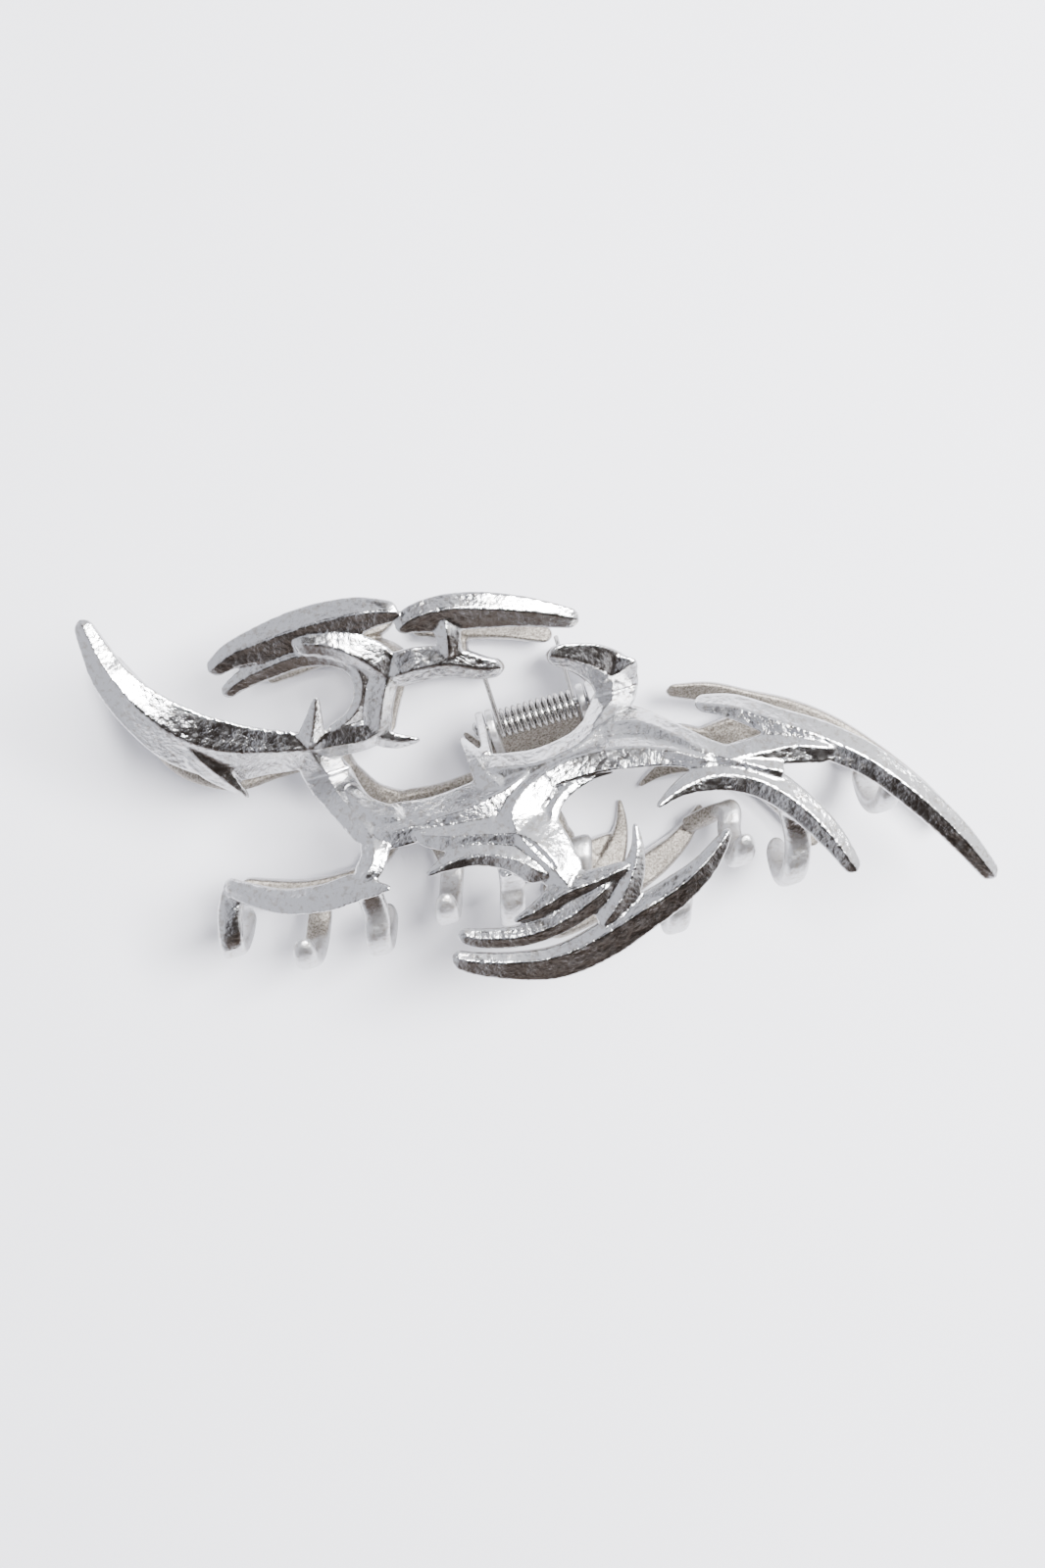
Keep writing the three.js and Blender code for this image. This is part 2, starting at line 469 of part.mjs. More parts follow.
const clip = new THREE.Group();
clip.add(
  piece("front_jaw", jaw(FRONT, FRONT_PATTERN), PLATED),
  piece("rear_jaw", jaw(REAR, REAR_PATTERN), PLATED),
  piece("hinge_pin", pin(), PLATED),
  piece("spring_coil", coil(), SPRING_WIRE),
  piece("spring_front_leg", leg(-1, FRONT, FRONT_LEG_SEAT), SPRING_WIRE),
  piece("spring_rear_leg", leg(1, REAR, REAR_LEG_SEAT), SPRING_WIRE),
);

// The part's origin is the middle of its footprint, on the surface that it lies on.
const box = new THREE.Box3().setFromObject(clip);
const middle = box.getCenter(new THREE.Vector3());
clip.position.set(-middle.x, -middle.y, -box.min.z);

export default clip;
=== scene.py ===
# %% [markdown]
# # A hair claw clip in polished metal
#
# The clip is two cast jaws, back to back, hinged on a short pin. Curled teeth on both jaws pass
# between one another, and a coiled wire spring on the pin keeps them shut. Every bar of the casting is
# a blade: two hollow facets that meet in a ridge, like a thorn.
#
# Blender adds the looks to a measured model that is already packed. Loading that model first fixes
# where everything is, so the pieces made below land in the right place without any fitting.

# %% Load the measured model
import json
import math

import bmesh
import bpy
import numpy as np
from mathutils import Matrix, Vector


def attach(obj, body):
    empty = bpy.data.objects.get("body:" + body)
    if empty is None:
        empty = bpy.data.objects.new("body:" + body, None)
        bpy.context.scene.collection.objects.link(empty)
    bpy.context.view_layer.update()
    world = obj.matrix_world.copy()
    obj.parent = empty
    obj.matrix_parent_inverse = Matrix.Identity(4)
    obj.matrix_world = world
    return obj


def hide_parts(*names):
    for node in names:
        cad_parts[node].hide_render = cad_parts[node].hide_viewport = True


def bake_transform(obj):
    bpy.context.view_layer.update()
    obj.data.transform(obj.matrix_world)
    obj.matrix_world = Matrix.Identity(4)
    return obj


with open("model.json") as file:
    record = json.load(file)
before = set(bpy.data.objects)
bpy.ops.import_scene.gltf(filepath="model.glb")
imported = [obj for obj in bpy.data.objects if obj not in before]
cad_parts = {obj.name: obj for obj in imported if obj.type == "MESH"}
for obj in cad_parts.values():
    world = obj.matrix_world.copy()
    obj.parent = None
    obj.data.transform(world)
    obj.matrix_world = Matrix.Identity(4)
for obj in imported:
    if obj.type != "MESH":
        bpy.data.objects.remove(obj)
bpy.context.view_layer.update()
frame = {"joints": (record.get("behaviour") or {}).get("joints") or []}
MM = 0.001
hinge_joint = frame["joints"][0]
hinge = np.array(hinge_joint["pos_m"])
print("hinge axis at", hinge.round(4), "limits", hinge_joint["range_deg"])

# %% [markdown]
# ## Where a point of the pattern lies
#
# A jaw is easiest to draw flat, as a jeweller scratches a pattern on sheet and then domes it. So each
# point has u along the pin and v towards the finger plates, and one function says how far the domed
# sheet stands off the middle plane there. Both jaws share it: the rear one is its mirror image.
#
# A sculpted mesh would also do, but then no length could be changed later. A function keeps the belly,
# the waist beside the pin and the rise to the finger plates as numbers.

# %% The domed sheet
BELLY_DEPTH = 16.5
BELLY_CENTRE = -20
BELLY_LOWER = 30
HANDLE_DEPTH = 16.5
HANDLE_REACH = 22
WAIST_DEPTH = 6.4
END_DROP = 3.6
PATTERN_END = 60
FOOT_CURL = 7
FOOT_CURL_FROM = -24
FOOT_CURL_RUN = 24
FOOT_CURL_FADE = 8
FRONT = 1
REAR = -1


def sheet_depth(u, v):
    """How far the ridges stand off the middle plane at u, v, in millimetres."""
    u = np.asarray(u, float)
    v = np.asarray(v, float)
    end = END_DROP * (u / PATTERN_END) ** 2
    rise = np.sin((math.pi / 2) * np.clip(v / HANDLE_REACH, 0, 1))
    handle = WAIST_DEPTH + (HANDLE_DEPTH - WAIST_DEPTH) * rise
    waist_share = WAIST_DEPTH / BELLY_DEPTH
    upper = -BELLY_CENTRE / math.sqrt(1 - waist_share**2)
    reach = np.where(v > BELLY_CENTRE, upper, BELLY_LOWER)
    belly = BELLY_DEPTH * np.sqrt(np.clip(1 - ((v - BELLY_CENTRE) / reach) ** 2, 0, 1))
    bend = np.clip((FOOT_CURL_FROM - u) / FOOT_CURL_RUN, 0, 1) ** 1.5
    curl = FOOT_CURL * bend * np.clip(-v / FOOT_CURL_FADE, 0, 1)
    return np.where(v >= 0, handle, belly - curl) - end


def in_model(u, v, w):
    """Pattern millimetres to the model's metres."""
    return np.stack(np.broadcast_arrays(u, v, w), axis=-1) * MM + hinge


print("depth at the belly, the pin and the finger plates:", sheet_depth(0, [-20, 0, 20]).round(2))

# %% [markdown]
# ## The pattern
#
# Each blade is a short list of stations along its ridge: u, v, and the width of the facet on its left
# and on its right. Wide stations make a broad leaf, and stations that narrow to nothing make a spike.
# A traced outline would need many more points, and it wouldn't say where the ridge runs.

# %% Blades of the front casting
BODY = {
    "spike_ring": [(-30.6, 4, 2.2, 2.2), (-28.8, 7, 1.5, 1.2), (-27.2, 10.5, 0.4, 0.4)],
    "ring": [(-38.8, 14.1, 0.9, 0.9), (-35.8, 15.3, 1.2, 1.3), (-31.6, 16, 1.5, 1.6),
             (-28, 16.2, 1.6, 1.6), (-24.4, 15.4, 1.7, 1.5), (-21.7, 13.6, 1.8, 1.4),
             (-20.8, 11.2, 1.6, 1.4), (-21.9, 8.3, 1.6, 1.2), (-24.2, 6.4, 1.6, 1),
             (-27.4, 5.4, 1.6, 1)],
    "waist_bar": [(-30.6, 4, 2.4, 2.6), (-26.9, 3.5, 2.2, 1.6), (-22.9, 3.1, 2.4, 1.2),
                  (-20.6, 3.8, 1.8, 1.5)],
    "waist_post": [(-21.2, 2.9, 1.6, 1.3), (-20.1, 5.4, 2.1, 1.4), (-19.2, 7.2, 2.2, 1.3),
                   (-17.5, 10.3, 2.2, 1.4)],
    "waist_spike": [(-21.6, 3.2, 1.5, 1.4), (-19, 1.8, 1.1, 1), (-16.1, 1.2, 0.3, 0.3)],
    "thumb_blade": [(-39.4, 17.4, 1.1, 1.1), (-36, 18.8, 1.6, 1.9), (-31, 19.3, 2.3, 2.6),
                    (-25, 19.6, 2.6, 3), (-19, 19.3, 2.3, 2.6), (-15.8, 18.7, 1.7, 1.7),
                    (-13.6, 18, 1.3, 1.2)],
    "thumb_bar": [(-27.6, 17.8, 1.2, 1.3), (-24.5, 16.7, 2, 1.3), (-22.1, 15.3, 2.6, 1.3),
                  (-19.3, 12.7, 3.2, 1.5), (-17.5, 10.3, 3, 1.6)],
    "cross_bar": [(-17.5, 10.3, 3, 1.6), (-13.6, 10.3, 3, 1.7), (-9.7, 9.9, 2.4, 1.7),
                  (-5.4, 8, 1.7, 1.3), (-2.7, 7.4, 1.1, 1)],
    "stem": [(-8.2, 15.2, 2.4, 2), (-8.5, 12.6, 1.6, 1.6), (-9.2, 10, 1.9, 2)],
    "finger_blade": [(-14.4, 15.8, 1.1, 0.9), (-12.3, 16.7, 1.7, 1.9), (-8.2, 16.8, 2, 2.8),
                     (-4, 15.8, 2.2, 2.6), (1.5, 13.9, 2, 2), (5.5, 12.2, 1.6, 1.6),
                     (8.6, 10.7, 1.2, 1.1)],
    "hook": [(3.5, 7.4, 1.3, 1.2), (6.8, 5.7, 2.4, 1.6), (9.2, 4, 3.2, 2.2), (10.9, 1.7, 3.6, 2.8),
             (10.2, -0.3, 3, 2.4), (8.2, -1.9, 2.6, 1.7), (6, -3.8, 2, 1.6)],
    "hook_corner": [(9.4, 2, 1.8, 2), (12, 2.5, 2.4, 2.6), (14.7, 3.4, 0.8, 0.8)],
    "cheek": [(-10.8, 0, 0.3, 0.3), (-9.7, -2.6, 1.1, 1), (-8.6, -5.4, 1.9, 1.8), (-6.4, -8, 2.4, 2.4)],
    "cradle": [(-8.8, -4.6, 1.7, 2), (-5, -5.4, 1.8, 2.2), (-2, -5.8, 1.8, 2.2), (1.2, -5.6, 1.8, 2.2),
               (4.4, -4.9, 1.8, 2.4), (7.2, -3.6, 1.8, 2.4), (10.6, -3.6, 1.5, 2.4)],
    "shoulder": [(6.6, -3.6, 1.6, 2), (11.8, -3.9, 1.6, 2.2), (16.2, -6.9, 1.5, 2.2),
                 (20, -10.4, 1.6, 2), (24.4, -13, 1.5, 1.9), (28.6, -15.4, 1.2, 1.8)],
    "eye_top": [(-2.6, -7.4, 1.8, 2.2), (2.9, -6.3, 1.8, 2.6), (9.4, -6.8, 1.6, 2.8),
                (16.2, -9.2, 1.6, 2), (20.4, -11.6, 1.6, 1.6)],
    "eye_side": [(-0.6, -6.8, 2.8, 1.8), (-4.8, -8.7, 3.4, 2), (-6.8, -11, 4.2, 2),
                 (-6.7, -13.4, 4.4, 2.2), (-5.4, -16.2, 4.2, 2.4), (-3.2, -19.8, 3.6, 2.2),
                 (-1.8, -22.4, 3, 1.8)],
    "eye_lip": [(8, -9, 0.8, 0.9), (4.6, -9, 0.9, 0.9), (1.2, -9.8, 1.1, 1), (-1.2, -11.5, 1.1, 1),
                (-2.2, -13.9, 0.9, 0.9), (-2.2, -16.6, 0.5, 0.6)],
    "body_upper": [(-25.4, -8.6, 2.6, 2.4), (-21.6, -9, 3.2, 2.3), (-16.6, -8.9, 2.6, 2.6),
                   (-11.6, -8.7, 2.7, 3.2), (-6.6, -7.7, 2.6, 3.2), (-2.8, -6.3, 2.4, 2.6)],
    "window_corner": [(-27, -2, 1, 1.2), (-25.9, -4.6, 1.5, 1.4), (-23.9, -6.6, 1.7, 1.4),
                      (-20.6, -7.6, 1.2, 1.2)],
    "body_lower": [(-19.6, -10.2, 1.4, 1.2), (-15, -11.6, 1.8, 2.2), (-10.4, -12.6, 3, 3.4),
                   (-6, -14, 4.4, 4.2), (-3.6, -17, 3.4, 4), (-2.4, -21, 2.4, 3)],
    "body_spike": [(-19.4, -15.5, 0.3, 0.3), (-16, -14.7, 1.2, 1.1), (-12, -14.9, 2.4, 1.5),
                   (-8, -16.6, 3, 1.8), (-4.4, -19.6, 3, 2.6)],
    "leaf_spike": [(-10.2, -24.2, 0.3, 0.3), (-6.8, -23.6, 1.1, 1), (-2.4, -22.4, 1.9, 1.8),
                   (1.6, -22.1, 1.5, 1.8), (6, -21.3, 0.7, 1)],
    "eye_spike": [(8.2, -16.4, 0.3, 0.3), (7.6, -19.6, 0.9, 0.9), (6, -22.6, 1.7, 1.6),
                  (3.6, -25.4, 2.3, 2.2), (0.6, -28, 2.4, 2.2)],
    "leaf_blade": [(-17.6, -24, 0.9, 0.9), (-14.4, -25.3, 1.2, 1.4), (-9.4, -26.4, 1.4, 1.4),
                   (-4.6, -26, 1.6, 1.5), (-0.4, -24.6, 1.9, 1.7), (3.4, -22.8, 2, 2)],
    "chin_horn": [(-19.2, -26.6, 1, 1.2), (-16.6, -27.8, 1.1, 1.9), (-12, -29.3, 1.2, 2.5),
                  (-6, -30.2, 1.3, 3.2), (0, -29.2, 1.5, 3.4), (5.5, -27.6, 1.8, 3.1),
                  (10.8, -26, 1.7, 2.6), (15, -24, 1.2, 2), (18, -21.9, 0.9, 1.2),
                  (19.7, -20.5, 0.5, 0.5)],
    "side_horn": [(11.5, -15.2, 0.3, 0.3), (15.2, -13.8, 1.1, 1.1), (20, -13.4, 1.9, 2.1),
                  (25, -15.5, 2.3, 2.2), (29, -19.6, 2, 2.1), (32.2, -25.2, 1.7, 1.7),
                  (34.2, -30.6, 1.1, 1.1)],
    "knee_bar": [(-30.6, 4, 3, 3), (-29.8, 1, 2.9, 3.3), (-28, -3.4, 2.8, 2.6), (-26, -7, 2.6, 2.4),
                 (-24.9, -10, 2.4, 2)],
    "ankle": [(-25, -8.6, 2.4, 2), (-25.6, -11.6, 1.9, 1.7), (-28, -14.2, 1.7, 1.6)],
    "foot": [(-47.2, -10.5, 1.2, 1.2), (-44, -12.1, 1.3, 1.6), (-39, -13.9, 1.2, 2.1),
             (-33.5, -14.5, 1.2, 2.3), (-29, -14.6, 1.6, 2), (-26.2, -15.4, 0.9, 1),
             (-24.3, -15.8, 0.3, 0.3)],
}
LEFT_HORN = {
    "left_horn": [(-53.9, 28.6, 1.1, 1.1), (-53.3, 25.4, 1.6, 1.8), (-52, 20.4, 2.2, 2.8),
                  (-49.6, 15, 3.2, 3.5), (-46.4, 10.6, 4.1, 4.2), (-41.7, 7.2, 4.1, 4.3),
                  (-36, 5.3, 3.1, 3.2), (-30.6, 4, 2.4, 2.6)],
    "barb": [(-45.6, 8.4, 2, 2.2), (-43.8, 5, 1.9, 1.9), (-40.8, 0, 0.3, 0.3)],
}
RIGHT_HORN = {
    "right_horn": [(20.4, -4, 1, 1), (25, -5.9, 1.7, 1.6), (30, -9.2, 1.8, 2.2), (35, -12.7, 2, 2.7),
                   (40, -17.3, 2, 2.2), (44.6, -23.3, 1.9, 2.1), (48.8, -30.2, 1.7, 1.8),
                   (52.1, -37.1, 1.2, 1.2)],
    "horn_root": [(20.6, -11.6, 1.4, 1.8), (26.6, -12.2, 2, 2), (31, -12.6, 2, 2.4),
                  (36, -14.4, 1.8, 2)],
}
front_blades = {**BODY, **LEFT_HORN, **RIGHT_HORN}
print(len(front_blades), "blades in the front casting")

# %% [markdown]
# The rear casting is plainer, because little of it is seen: two spikes and the barb are left off, some
# blades are shorter, and its horns and finger blade are turned a few degrees so that the two castings
# don't line up exactly. Editing a copy of the front's lists keeps the two castings related.

# %% Blades of the rear casting
LEFT_HORN_ROOT = (-29, -4)
RIGHT_HORN_ROOT = (8, -9)
FINGER_ROOT = (-14.7, 15.4)


def turned(stations, root, degrees, reach=1.0):
    """The same blade swung round a root, and shortened towards it."""
    angle = math.radians(degrees)
    across = reach * math.cos(angle)
    up = reach * math.sin(angle)
    swung = []
    for u, v, left, right in stations:
        from_u = u - root[0]
        from_v = v - root[1]
        new_u = root[0] + from_u * across - from_v * up
        new_v = root[1] + from_u * up + from_v * across
        swung.append((new_u, new_v, left, right))
    return swung


rear_blades = dict(BODY)
del rear_blades["spike_ring"]
del rear_blades["waist_spike"]
rear_blades["ring"] = [(-36.8, 15.1, 0.9, 0.9)] + BODY["ring"][2:]
rear_blades["waist_post"] = [(-21.2, 2.9, 1.6, 0.9), (-20.1, 5.4, 1.6, 0.9), (-19.2, 7.2, 1.6, 0.9),
                             (-17.5, 10.3, 2.0, 1.1)]
rear_blades["thumb_blade"] = BODY["thumb_blade"][:5] + [(-16.4, 18.8, 1.2, 1.2)]
rear_blades["knee_bar"] = [(-30.6, 4, 3.0, 2.6), (-29.8, 1, 2.9, 2.2), (-28, -3.4, 2.7, 1.5),
                           (-26, -7, 2.6, 1.4), (-24.9, -10, 2.4, 1.4)]
rear_blades["eye_side"] = [(u, v, left, right - 1) for u, v, left, right in BODY["eye_side"]]
rear_blades["leaf_blade"] = [(-6.5, -26.3, 0.9, 0.9)] + BODY["leaf_blade"][4:]
rear_blades["chin_horn"] = [(-9, -29.9, 0.9, 1.4)] + BODY["chin_horn"][3:]
rear_blades["ankle"] = BODY["ankle"] + [(-31, -16, 1.6, 1.6)]
rear_blades["foot"] = [(u, v - 1.6, left, right) for u, v, left, right in BODY["foot"][:5]]
rear_blades["pin_plate"] = [(-7.8, -2.9, 2.0, 2.6), (-4, -2.7, 2.4, 2.6), (0, -2.6, 2.4, 2.6),
                            (4, -2.4, 2.4, 2.6), (7.8, -2, 2.0, 2.6)]
rear_blades["shoulder_leaf"] = [(15.5, -7.6, 0.8, 0.8), (19, -9.4, 1.9, 1.6), (23, -11.6, 2.2, 1.8),
                                (27, -12.2, 2.5, 2.0), (30.5, -13, 1.2, 1.5)]
rear_blades["finger_blade"] = turned(BODY["finger_blade"], FINGER_ROOT, -4.5, 0.87)
rear_blades["left_horn"] = turned(LEFT_HORN["left_horn"], LEFT_HORN_ROOT, 8)
rear_horn = [(19.3, -3.3, 0.9, 0.9)] + RIGHT_HORN["right_horn"][1:]
rear_blades["right_horn"] = turned(rear_horn, RIGHT_HORN_ROOT, 5)
rear_blades["horn_root"] = turned(RIGHT_HORN["horn_root"], RIGHT_HORN_ROOT, 5)
print(len(rear_blades), "blades in the rear casting")

# %% [markdown]
# ## A smooth line through the stations
#
# Straight runs between stations would show as kinks in a mirror finish. A Catmull-Rom curve passes
# through every station by itself, where a Bezier curve would need its handles set by hand.

# %% Smooth line
def smooth_line(points, steps_each):
    """Centripetal Catmull-Rom through the points, steps_each samples for each stretch."""
    points = np.asarray(points, float)
    padded = np.vstack([2 * points[0] - points[1], points, 2 * points[-1] - points[-2]])
    samples = []
    for i in range(len(points) - 1):
        before, start, stop, after = padded[i : i + 4]
        pairs = ((before, start), (start, stop), (stop, after))
        first, second, third = [max(np.linalg.norm(b - a) ** 0.5, 1e-4) for a, b in pairs]
        if np.linalg.norm(stop - start) < 1e-9:
            leave = arrive = np.zeros_like(start)
        else:
            middle = (stop - start) / second
            leave = (start - before) / first - (stop - before) / (first + second) + middle
            arrive = middle - (after - start) / (second + third) + (after - stop) / third
        leave = leave * second
        arrive = arrive * second
        share = np.arange(steps_each)[:, None] / steps_each
        square = 3 * stop - 3 * start - 2 * leave - arrive
        cube = 2 * start - 2 * stop + leave + arrive
        samples.append(start + leave * share + square * share**2 + cube * share**3)
    samples.append(points[-1][None])
    return np.vstack(samples)


print("a test line has", len(smooth_line([(0, 0), (1, 1), (2, 0)], 8)), "samples")

# %% [markdown]
# ## One blade as a closed shell
#
# The section of a blade is a hollow-ground facet on each side of the ridge, a thin rounded edge, and a
# narrower flat underneath, as a casting needs to leave its mould. Rings of that section along the line
# make a shell. The ends are rounded off by shrinking the last few rings.

# %% Blade shells
RIDGE_RATIO = 0.42
RIDGE_MAX = 1.5
PLATE = 2.3
PLATE_LEAST = 0.5
UNDERSIDE = 0.72
HOLLOW = 0.22
EDGE = 0.35
EDGE_LOW = 0.8
FACET_SHARES = (0.12, 0.3, 0.5, 0.7, 0.88)
BLADE_STEPS = 16
NARROWEST = 0.15
SMALLEST_END = 0.2
END_SINK = 0.3
DROPS = {"ring": 0.8, "eye_lip": 1.2}


def closed_shell(rings):
    """Vertices and faces of a tube of rings with both ends capped."""
    count, sides = rings.shape[:2]
    faces = []
    for i in range(count - 1):
        for k in range(sides):
            nxt = (k + 1) % sides
            faces.append((i * sides + k, i * sides + nxt, (i + 1) * sides + nxt, (i + 1) * sides + k))
    faces.append(tuple(reversed(range(sides))))
    faces.append(tuple(range((count - 1) * sides, count * sides)))
    return rings.reshape(-1, 3), faces


def half_section(width, ridge, plate):
    """Across and down from the ridge to the middle of the underside, on one side."""
    points = [(width * s, ridge * (s + HOLLOW * s * (1 - s))) for s in FACET_SHARES]
    points += [
        (width, ridge),
        (width, ridge + EDGE * plate),
        (width * (1 + UNDERSIDE) / 2, ridge + EDGE_LOW * plate),
        (width * UNDERSIDE, ridge + plate),
    ]
    return points


def blade_rings(stations, side, drop=0.0):
    """Rings of one blade in the model's metres; drop sets it lower than its neighbours."""
    line = smooth_line([(u, v) for u, v, _, _ in stations], BLADE_STEPS)
    widths = smooth_line([(left, right) for _, _, left, right in stations], BLADE_STEPS)
    heading = np.gradient(line, axis=0)
    heading /= np.linalg.norm(heading, axis=1, keepdims=True)
    travelled = np.concatenate([[0], np.cumsum(np.linalg.norm(np.diff(line, axis=0), axis=1))])
    rings = []
    for place, width, (along_u, along_v), gone in zip(line, widths, heading, travelled):
        end_width = np.interp(gone, (0, travelled[-1]), (widths[0].mean(), widths[-1].mean()))
        inset = min(gone, travelled[-1] - gone) / max(end_width, 0.1)
        rounding = math.sqrt(1 - (1 - min(inset, 1)) ** 2) if inset < 1 else 1.0
        rounding = max(rounding, SMALLEST_END)
        left, right = np.maximum(width, NARROWEST) * rounding
        half = (left + right) / 2
        ridge = min(RIDGE_RATIO * half, RIDGE_MAX)
        plate = min(PLATE, PLATE_LEAST + half)
        section = [(0, 0)] + half_section(left, ridge, plate)
        section += [(-across, down) for across, down in reversed(half_section(right, ridge, plate))]
        across, down = np.array(section).T
        sink = (1 - rounding) * END_SINK * (ridge + plate)
        u = place[0] - along_v * across
        v = place[1] + along_u * across
        w = side * (sheet_depth(u, v) - drop - sink - down)
        rings.append(in_model(u, v, w))
    return np.array(rings)


print("one ring of a blade has", blade_rings(BODY["stem"], FRONT).shape[1], "corners")

# %% [markdown]
# ## Teeth
#
# A tooth leaves the inside of the belly, dives through the middle plane between two teeth of the other
# jaw and curls up again behind it. It is a flat bar with rounded corners that ends in a rounded tip, so
# a ring of a squared circle is swept along the curl. The curl is an arc computed from its reach, so all
# ten teeth mesh the same way.

# %% Teeth
FRONT_TEETH = [(-46.2, -11.8, -49, -20.9), (-27.6, -15, -29.3, -26), (-8.8, -17.6, -10.9, -27),
               (10, -27.2, 10, -34.2), (28.4, -19, 26.8, -32.2)]
REAR_TEETH = [(-38.4, -15.8, -39.6, -25.4), (-19.6, -12, -19.6, -24.8), (0, -22.6, -0.8, -27),
              (17, -22.6, 21.2, -28.2), (42.6, -19.6, 42, -26.4)]
TOOTH_WIDTH = 3.4
TOOTH_THICK = 2.3
TOOTH_ROOT_DROP = 2.2
CURL_CENTRE = 1
CURL_REACH = 9
CURL_RISE = 5.5
CURL_ANGLE = math.radians(165)
CURL_STEPS = 6
TOOTH_LEAN = 0.29
TOOTH_SIDES = 28
TOOTH_STEPS = 14
TIP_SHARE = 0.1
TIP_LEAST = 0.02
TAPER = 0.12
TAPER_FROM = 0.6
SQUARENESS = 0.62


def tooth_rings(tooth, side):
    """Rings of one tooth, in the model's metres."""
    root_u, root_v, low_u, low_v = tooth
    root_w = float(sheet_depth(root_u, root_v)) - TOOTH_ROOT_DROP
    places = [(root_u, root_v, root_w)]
    for i in range(CURL_STEPS + 1):
        angle = CURL_ANGLE * i / CURL_STEPS
        reach = min(CURL_REACH, root_w - CURL_CENTRE) if angle < math.pi / 2 else CURL_REACH
        up = CURL_RISE * (1 - math.sin(angle))
        depth = CURL_CENTRE + reach * math.cos(angle)
        places.append((low_u + TOOTH_LEAN * up, low_v + TOOTH_THICK / 2 + up, depth))
    line = smooth_line(places, TOOTH_STEPS) * (1, 1, side)
    heading = np.gradient(line, axis=0)
    heading /= np.linalg.norm(heading, axis=1, keepdims=True)
    travelled = np.concatenate([[0], np.cumsum(np.linalg.norm(np.diff(line, axis=0), axis=1))])
    angles = (np.arange(TOOTH_SIDES) + 0.5) / TOOTH_SIDES * 2 * math.pi
    flat = np.sign(np.cos(angles)) * np.abs(np.cos(angles)) ** SQUARENESS
    thick = np.sign(np.sin(angles)) * np.abs(np.sin(angles)) ** SQUARENESS
    rings = []
    for place, along, gone in zip(line, heading, travelled):
        left_over = (travelled[-1] - gone) / (TIP_SHARE * travelled[-1])
        dome = math.sqrt(max(1 - (1 - min(left_over, 1)) ** 2, TIP_LEAST))
        narrow = 1 - TAPER * min(max((gone / travelled[-1] - TAPER_FROM) / (1 - TAPER_FROM), 0), 1)
        across = np.array((1, 0, 0)) - along * along[0]
        across /= np.linalg.norm(across)
        outward = np.cross(along, across)
        ring = place + np.outer(flat * TOOTH_WIDTH / 2 * dome * narrow, across)
        ring = ring + np.outer(thick * TOOTH_THICK / 2 * dome * narrow, outward)
        rings.append(in_model(*ring.T))
    return np.array(rings)


print("each tooth has", len(tooth_rings(FRONT_TEETH[0], FRONT)), "rings")

# %% [markdown]
# ## Ears
#
# Two flat lugs on each casting hold the pin. Each is a plate with a round hole, and its foot runs up
# into the casting. Here the plate is a ring of corners round the hole: the outline is found by walking
# out from the hole's centre until it leaves the lug, so outline and hole always pair up.

# %% Ears
PIN_RADIUS = 0.6
PIN_FIT = 0.07
EAR_RADIUS = 2.4
EAR_THICK = 1.1
EAR_GAP = 0.25
EAR_FOOT = (-6.4, -2.6)
EAR_FOOT_TILT = 0.2
EAR_ARC = (math.pi * 1.08, math.pi * 0.12)
EAR_CORNERS = 72
WIRE_SPACE = 0.7
LEG_GAP = 0.3
COIL_HALF = 4.7
RING_CENTRE = COIL_HALF + LEG_GAP + WIRE_SPACE / 2
REAR_EAR = RING_CENTRE + WIRE_SPACE / 2 + EAR_GAP
FRONT_EAR = REAR_EAR + EAR_THICK + EAR_GAP


def ear_outline(inner):
    """The lug's outline from the hole's centre, as v and w for evenly spaced directions."""
    foot = float(sheet_depth(inner, -5)) - PLATE
    arc_ends = [(EAR_RADIUS * math.cos(angle), EAR_RADIUS * math.sin(angle)) for angle in EAR_ARC]
    corners = [arc_ends[0], (EAR_FOOT[0], foot), (EAR_FOOT[1], foot + EAR_FOOT_TILT), arc_ends[1]]
    outline = []
    for direction in np.arange(EAR_CORNERS) / EAR_CORNERS * 2 * math.pi:
        ray = np.array((math.cos(direction), math.sin(direction)))
        reach = EAR_RADIUS
        for a, b in zip(corners, corners[1:]):
            edge = np.subtract(b, a)
            spread = ray[0] * -edge[1] + ray[1] * edge[0]
            if abs(spread) < 1e-9:
                continue
            along = (a[0] * -edge[1] + a[1] * edge[0]) / spread
            share = (ray[0] * a[1] - ray[1] * a[0]) / spread
            if along > 0 and 0 <= share <= 1:
                reach = max(reach, along)
        outline.append(ray * reach)
    return np.array(outline)


def ear_shell(inner, hand, side):
    """Vertices and faces of one lug with its hole."""
    outline = ear_outline(inner)
    hole = outline / np.linalg.norm(outline, axis=1, keepdims=True) * (PIN_RADIUS + PIN_FIT)
    loops = []
    outer = inner + EAR_THICK
    for ring, u in ((outline, inner), (outline, outer), (hole, outer), (hole, inner)):
        loops.append(in_model(hand * u, ring[:, 0], side * ring[:, 1]))
    faces = []
    for loop in range(4):
        for k in range(EAR_CORNERS):
            nxt = (k + 1) % EAR_CORNERS
            other = (loop + 1) % 4
            faces.append((loop * EAR_CORNERS + k, loop * EAR_CORNERS + nxt, other * EAR_CORNERS + nxt,
                          other * EAR_CORNERS + k))
    return np.concatenate(loops), faces


print("ears stand at", REAR_EAR, "and", FRONT_EAR, "mm along the pin")

# %% [markdown]
# ## Fusing a casting
#
# A casting is one lump of metal, with a small fillet wherever two blades meet. Boolean unions would
# leave knife-sharp creases there. A voxel remesh melts all the shells into one skin instead, and a few
# rounds of smoothing give the fillets and the softly polished ridges. Smoothing shrinks a mesh, so each
# round pulls in and then pushes out by nearly as much.

# %% Fuse and smooth
VOXEL = 0.00022
SMOOTH_ROUNDS = 5
PULL_IN = 0.5
PUSH_OUT = -0.52


